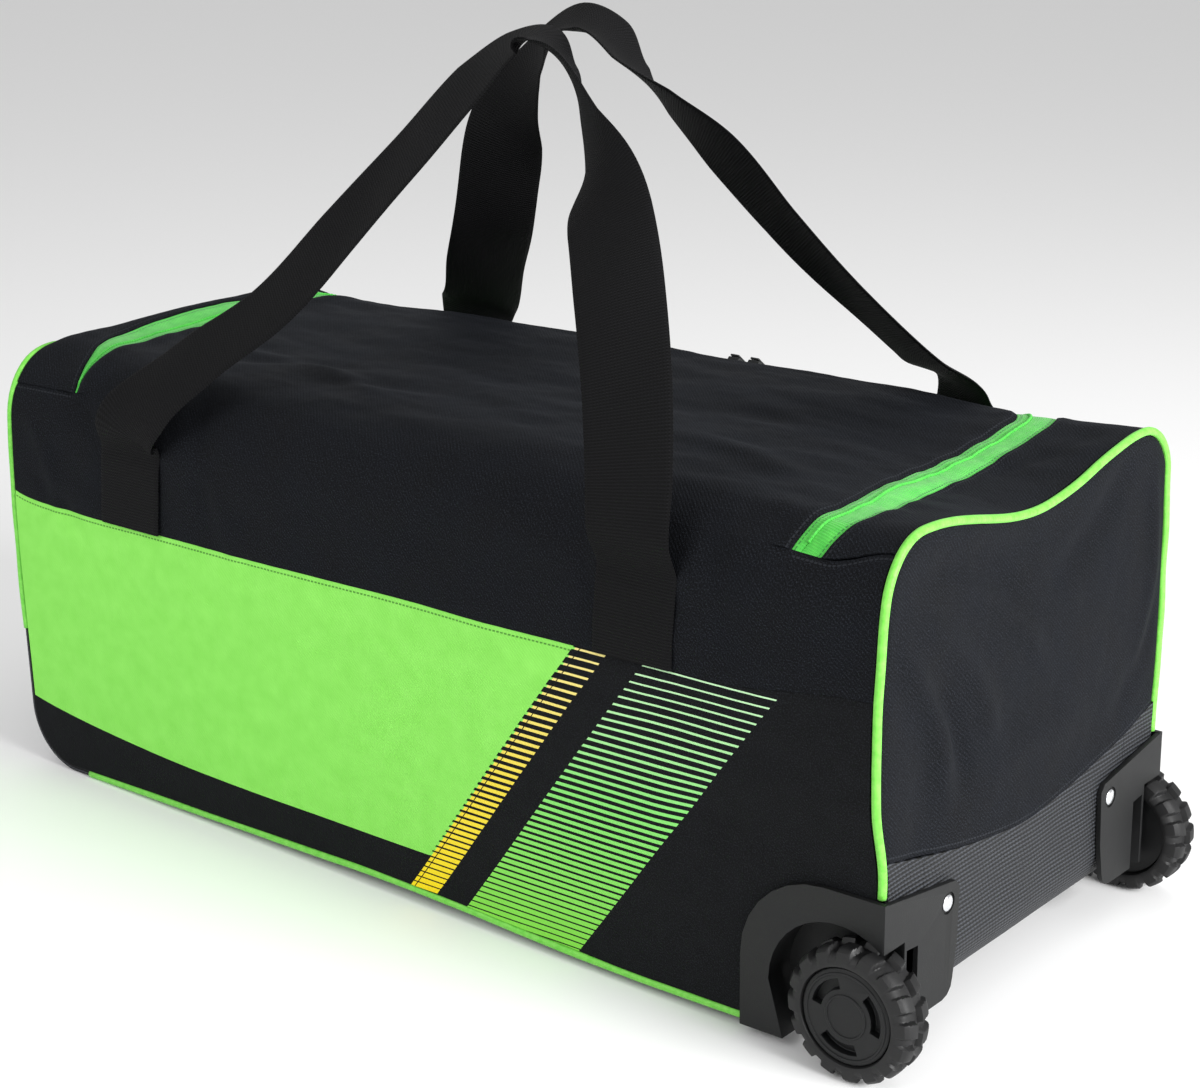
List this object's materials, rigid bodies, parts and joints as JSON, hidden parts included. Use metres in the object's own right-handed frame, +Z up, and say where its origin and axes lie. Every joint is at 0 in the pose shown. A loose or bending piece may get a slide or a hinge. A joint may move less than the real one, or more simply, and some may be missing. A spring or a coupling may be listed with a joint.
{
  "type": "wheeled cricket kit bag",
  "caption": "Long soft kit bag with a U-shaped zip lid, tall carry handles that meet over the top, ribbed scuff ends and a wheel in a moulded housing at each corner of one end.",
  "frame": {"origin": "middle of the part's box at floor level", "axes": "+X along the bag from the towing end to the wheel end, +Y from the front panel to the back, +Z up; the bag leans by about 1.4 degrees because its wheels lift one end"},
  "size_m": [0.8614, 0.3982, 0.6204],
  "materials": {
    "base_board": "board-stiffened base cloth, matt black",
    "body_cloth": "black polyester weave, matt with a slight blue cast",
    "printed_cloth": "polyester weave with a fluorescent green print and plain black parts",
    "zip_tape": "green woven zip tape",
    "ribbed_cloth": "fine ribbed coated cloth, black with a grey sheen",
    "piping": "lime piping cord cover",
    "zip_metal": "coated cast zip slider",
    "pull_tab": "black folded tape pull",
    "webbing": "black ribbed polypropylene webbing",
    "housing_plastic": "spark-grained moulded polypropylene, charcoal",
    "hub_plastic": "grained moulded nylon, near black",
    "tyre_rubber": "moulded black rubber with block tread",
    "axle_steel": "plain steel pin",
    "rivet_steel": "bright domed rivet"
  },
  "bodies": {
    "root": {"base_panel": "base_board", "front_printed_panel": "printed_cloth", "back_lower_panel": "body_cloth", "lid_and_front_panel": "body_cloth", "top_gusset": "body_cloth", "back_upper_panel": "body_cloth", "zip_inner_tape": "zip_tape", "zip_outer_tape": "zip_tape", "wheel_end_panel": "body_cloth", "tow_end_panel": "body_cloth", "wheel_end_scuff": "ribbed_cloth", "tow_end_scuff": "ribbed_cloth", "wheel_end_piping": "piping", "tow_end_piping": "piping", "front_bottom_piping": "piping", "back_bottom_piping": "piping", "tow_binding_front": "ribbed_cloth", "tow_binding_back": "ribbed_cloth", "zip_tow_slider": "zip_metal", "zip_tow_pull": "pull_tab", "zip_wheel_slider": "zip_metal", "zip_wheel_pull": "pull_tab", "front_handle": "webbing", "back_handle": "webbing", "wheel_housing_front": "housing_plastic", "wheel_housing_back": "housing_plastic", "axle_front": "axle_steel", "axle_back": "axle_steel", "rivet_front": "rivet_steel", "rivet_back": "rivet_steel"},
    "wheel_front": {"tyre_front": "tyre_rubber", "hub_front": "hub_plastic"},
    "wheel_back": {"tyre_back": "tyre_rubber", "hub_back": "hub_plastic"}
  },
  "joints": [
    {"name": "wheel_front_spin", "type": "hinge", "parent": "root", "child": "wheel_front", "pos_m": [0.38374, -0.18238, 0.04698], "axis": [0, 1, 0], "continuous": true},
    {"name": "wheel_back_spin", "type": "hinge", "parent": "root", "child": "wheel_back", "pos_m": [0.38374, 0.18362, 0.04698], "axis": [0, 1, 0], "continuous": true}
  ]
}
